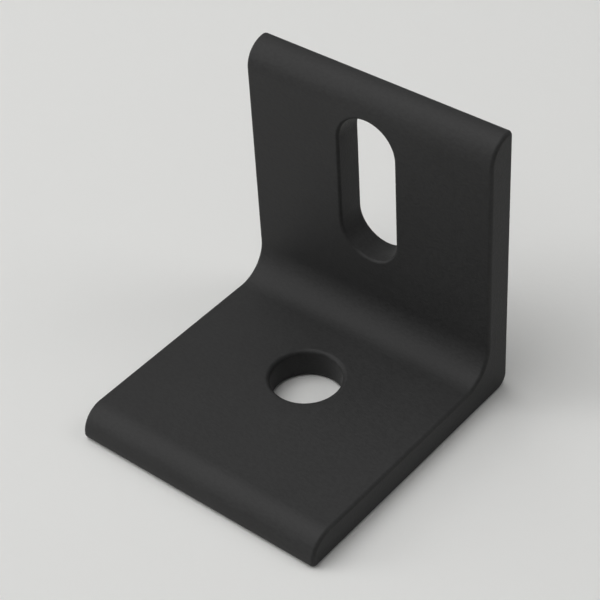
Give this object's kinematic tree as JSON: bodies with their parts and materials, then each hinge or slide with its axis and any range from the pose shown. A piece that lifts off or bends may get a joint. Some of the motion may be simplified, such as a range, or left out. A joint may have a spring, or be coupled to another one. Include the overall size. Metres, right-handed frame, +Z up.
{
  "type": "panel mount bracket",
  "caption": "Right-angle panel bracket of extruded aluminium, powder coated black, with a round bolt hole in the base leg and an upright slot in the other.",
  "frame": {"origin": "on the underside of the base leg, below the middle of the bracket's box", "axes": "+X along the width; the base leg reaches towards -Y from the back face, which is on the +Y side; +Z up along the upright leg and the axis of the base hole"},
  "size_m": [0.028, 0.03, 0.03],
  "materials": {
    "black_coat": "satin"
  },
  "bodies": {
    "root": {"bracket": "black_coat"}
  },
  "joints": []
}
